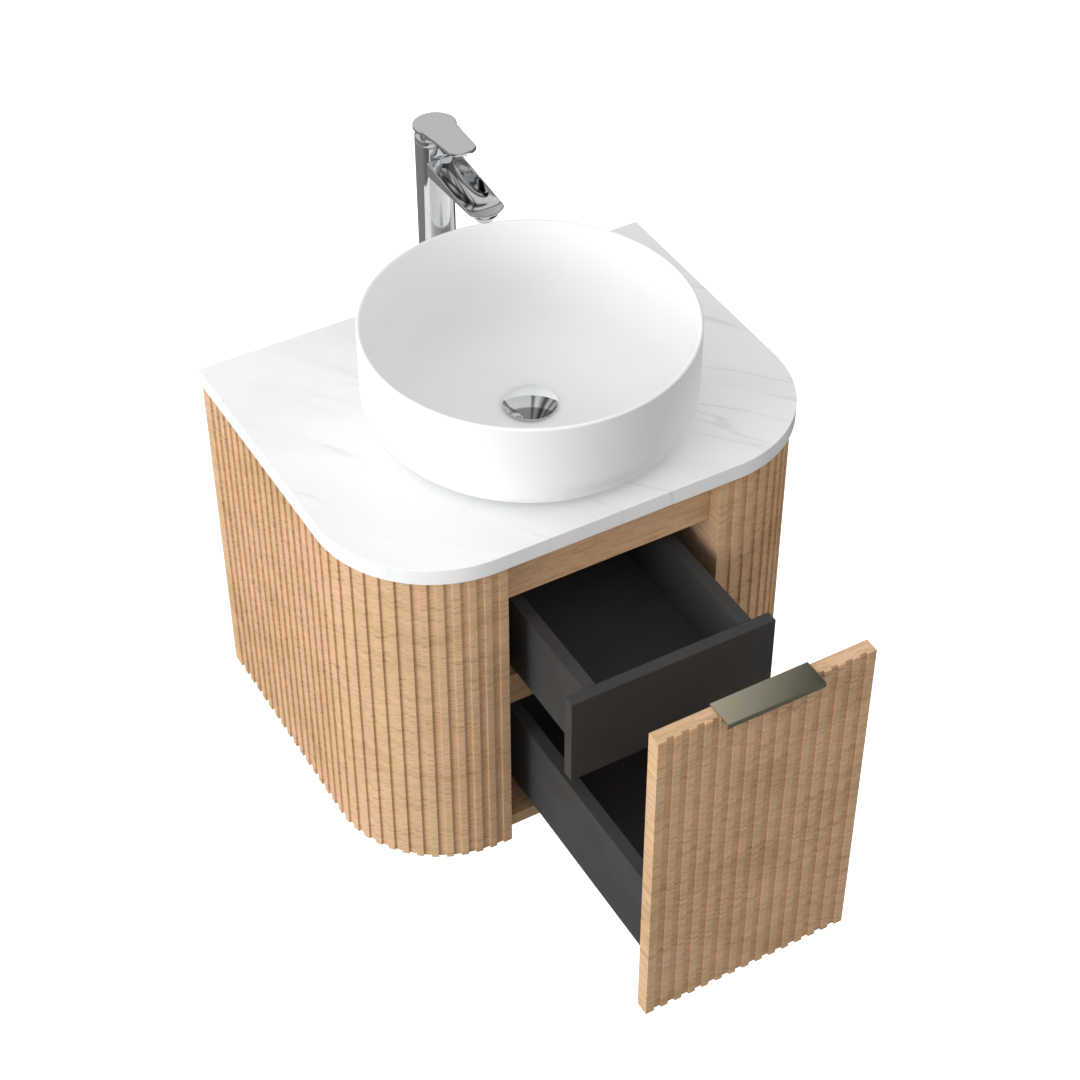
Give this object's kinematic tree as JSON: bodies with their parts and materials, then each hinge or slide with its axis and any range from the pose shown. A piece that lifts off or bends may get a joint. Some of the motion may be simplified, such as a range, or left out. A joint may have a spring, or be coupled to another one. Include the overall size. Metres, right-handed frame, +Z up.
{
  "type": "vessel sink on vanity",
  "caption": "Wall-hung oak vanity with fluted rounded sides, marble-look top, round vessel basin, tall lever tap, pop-up drain and a fluted front drawer hiding an inner drawer.",
  "frame": {"origin": "middle of the hanging rail's back face, on the wall plane", "axes": "+Y into the wall, -Y out of the front of the cabinet, +X to the right seen from the front, +Z up"},
  "size_m": [0.6, 0.7665, 0.7437],
  "materials": {
    "oak": "natural light oak veneer, matt",
    "charcoal": "matt charcoal laminate",
    "marble": "white marble-look, faint grey veins",
    "ceramic": "satin white glaze",
    "chrome": "polished",
    "brushed_nickel": "brushed, warm grey",
    "runner_steel": "zinc plated",
    "brass": "machined",
    "rubber": "matt",
    "white_plastic": "moulded"
  },
  "bodies": {
    "cabinet": {"left_fluted_panel": "oak", "left_inner_side": "oak", "left_top_plate": "oak", "left_back_panel": "oak", "right_fluted_panel": "oak", "right_inner_side": "oak", "right_top_plate": "oak", "right_back_panel": "oak", "bottom_panel": "oak", "hanging_rail": "oak", "lower_back_rail": "oak", "top_front_rail": "oak", "mid_rail": "oak", "countertop": "marble", "basin": "ceramic", "basin_gasket": "rubber", "drain_body": "chrome", "drain_latch": "white_plastic", "drain_gasket": "rubber", "drain_locknut": "white_plastic", "tap_body": "chrome", "tap_base_gasket": "rubber", "tap_cartridge": "white_plastic", "tap_aerator": "chrome", "tap_shank": "brass", "tap_clamp_washer": "runner_steel", "tap_locknut": "brass", "lower_runner_left_cabinet_rail": "runner_steel", "lower_runner_right_cabinet_rail": "runner_steel", "inner_runner_left_cabinet_rail": "runner_steel", "inner_runner_right_cabinet_rail": "runner_steel"},
    "lower_drawer": {"left_bumper": "rubber", "right_bumper": "rubber", "lower_drawer_front": "oak", "drawer_pull": "brushed_nickel", "pull_left_screw": "runner_steel", "pull_right_screw": "runner_steel", "lower_drawer_left_side": "charcoal", "lower_drawer_right_side": "charcoal", "lower_drawer_back": "charcoal", "lower_drawer_bottom": "charcoal", "lower_runner_left_drawer_rail": "runner_steel", "lower_runner_right_drawer_rail": "runner_steel"},
    "inner_drawer": {"inner_drawer_front": "charcoal", "inner_drawer_left_side": "charcoal", "inner_drawer_right_side": "charcoal", "inner_drawer_back": "charcoal", "inner_drawer_bottom": "charcoal", "inner_runner_left_drawer_rail": "runner_steel", "inner_runner_right_drawer_rail": "runner_steel"},
    "lower_runner_middle": {"lower_runner_left_middle_rail": "runner_steel", "lower_runner_right_middle_rail": "runner_steel"},
    "inner_runner_middle": {"inner_runner_left_middle_rail": "runner_steel", "inner_runner_right_middle_rail": "runner_steel"},
    "stopper": {"drain_stopper": "chrome"},
    "tap_swivel": {"tap_collar": "chrome"},
    "tap_handle": {"tap_lever": "chrome", "tap_lever_stem": "brass"}
  },
  "joints": [
    {"name": "lower_drawer_slide", "type": "slide", "parent": "cabinet", "child": "lower_drawer", "axis": [0, -1, 0], "range_m": [-0.3, 0.05]},
    {"name": "inner_drawer_slide", "type": "slide", "parent": "cabinet", "child": "inner_drawer", "axis": [0, -1, 0], "range_m": [-0.148, 0.025]},
    {"name": "lower_runner_middle_slide", "type": "slide", "parent": "cabinet", "child": "lower_runner_middle", "axis": [0, -1, 0], "range_m": [-0.15, 0.0251]},
    {"name": "inner_runner_middle_slide", "type": "slide", "parent": "cabinet", "child": "inner_runner_middle", "axis": [0, -1, 0], "range_m": [-0.0741, 0.0125]},
    {"name": "stopper_slide", "type": "slide", "parent": "cabinet", "child": "stopper", "axis": [0, 0, 1], "range_m": [0, 0.009]},
    {"name": "tap_mix_hinge", "type": "hinge", "parent": "cabinet", "child": "tap_swivel", "pos_m": [0, -0.0385, 0.3093], "axis": [0, 0, 1], "range_deg": [-45, 45]},
    {"name": "tap_lift_hinge", "type": "hinge", "parent": "tap_swivel", "child": "tap_handle", "pos_m": [0, -0.0385, 0.3093], "axis": [-1, 0, 0], "range_deg": [0, 20]}
  ],
  "couplings": [
    {"joint": "inner_drawer_slide", "follows": "lower_drawer_slide", "ratio": 0.49333},
    {"joint": "lower_runner_middle_slide", "follows": "lower_drawer_slide", "ratio": 0.5},
    {"joint": "inner_runner_middle_slide", "follows": "lower_drawer_slide", "ratio": 0.24667}
  ]
}
